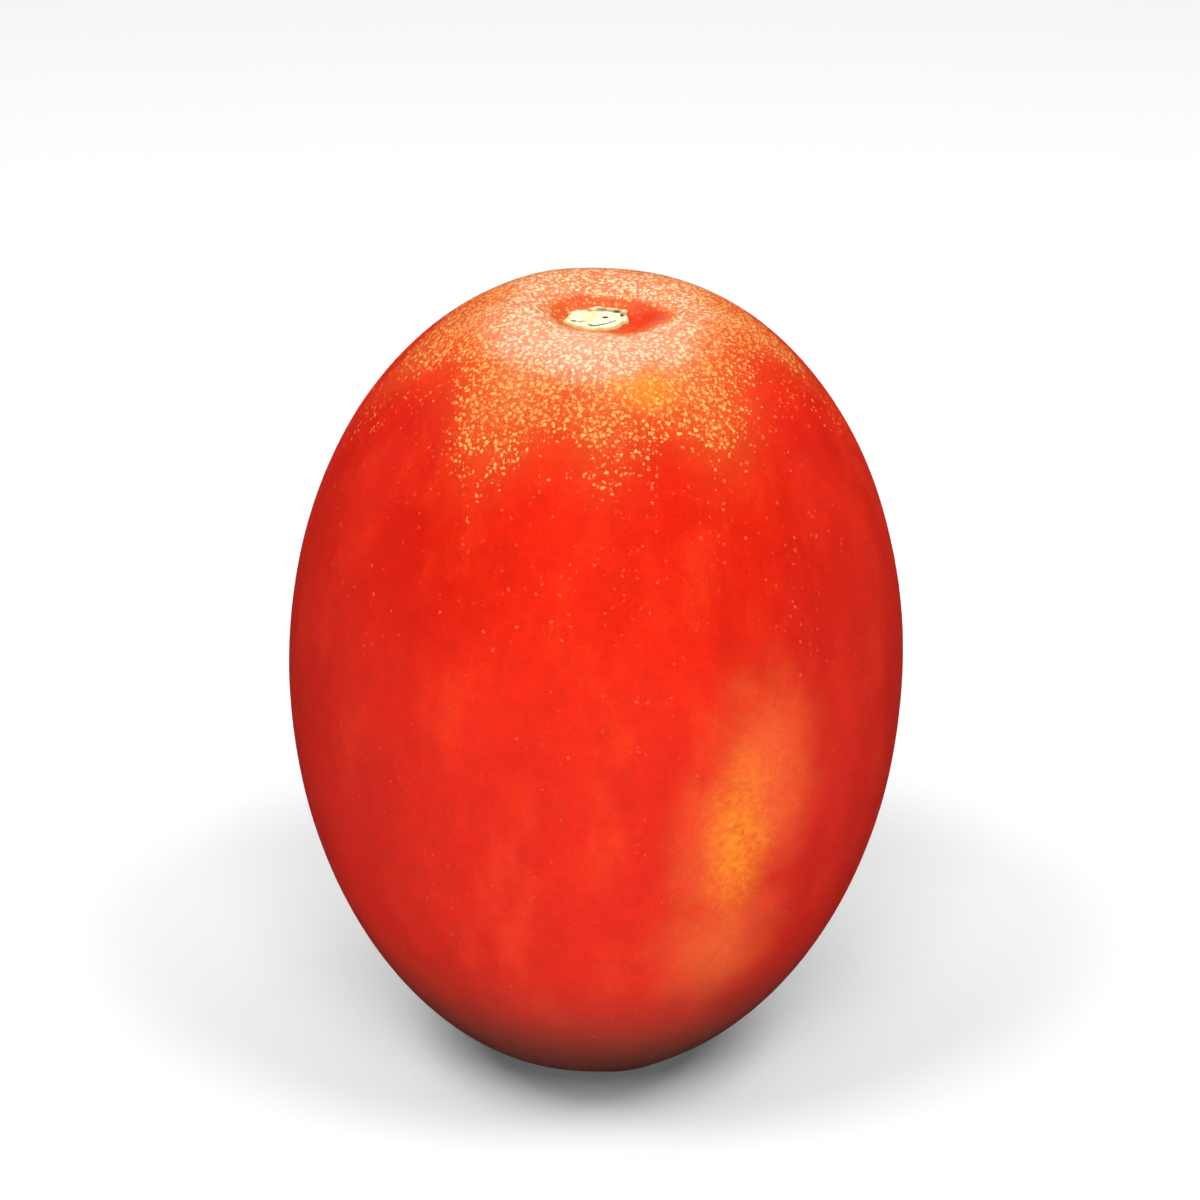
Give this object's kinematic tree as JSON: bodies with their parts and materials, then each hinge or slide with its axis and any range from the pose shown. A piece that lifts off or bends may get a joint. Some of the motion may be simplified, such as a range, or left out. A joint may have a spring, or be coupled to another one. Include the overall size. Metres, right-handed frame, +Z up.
{
  "type": "plum tomato",
  "caption": "Whole ripe plum tomato without its stalk, standing on a small flat spot at its blossom end, with a corky stem scar in a shallow dimple on top.",
  "frame": {"origin": "on the surface that the tomato stands on, under the middle of the fruit", "axes": "+Z up from the blossom end to the stem scar, -Y towards the side seen in the reference picture, +X to its right"},
  "size_m": [0.05, 0.0499, 0.0677],
  "materials": {
    "tomato_skin": "satin",
    "stem_scar_cork": "matte"
  },
  "bodies": {
    "root": {"tomato": "tomato_skin"}
  },
  "joints": []
}
